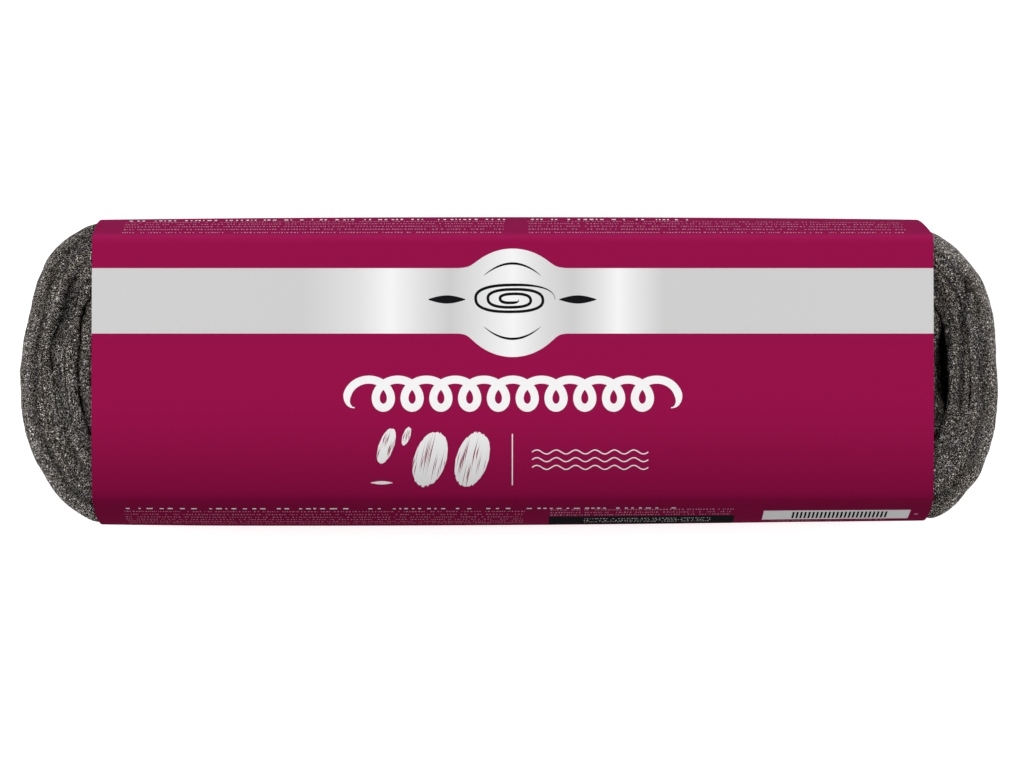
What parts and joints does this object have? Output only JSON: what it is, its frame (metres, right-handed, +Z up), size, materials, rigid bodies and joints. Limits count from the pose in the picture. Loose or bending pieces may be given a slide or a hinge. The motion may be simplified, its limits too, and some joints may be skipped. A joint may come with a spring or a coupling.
{
  "type": "steel wool pad",
  "caption": "Flat coil of steel wool ribbon held in a glued card sleeve that is open at both ends, for rubbing down and scouring by hand.",
  "frame": {"origin": "on the ground under the middle of the coil, with the pad lying on its back panel", "axes": "+X along the pad, +Y across it towards the printed band, +Z up out of the printed front panel"},
  "size_m": [0.3006, 0.0954, 0.058],
  "materials": {
    "steel_wool": "dark, matte mat of fine crimped steel fibres that glint one by one",
    "printed_card": "satin coated card, printed crimson with a silver band"
  },
  "bodies": {
    "root": {"steel_wool_coil": "steel_wool", "card_sleeve": "printed_card"}
  },
  "joints": []
}
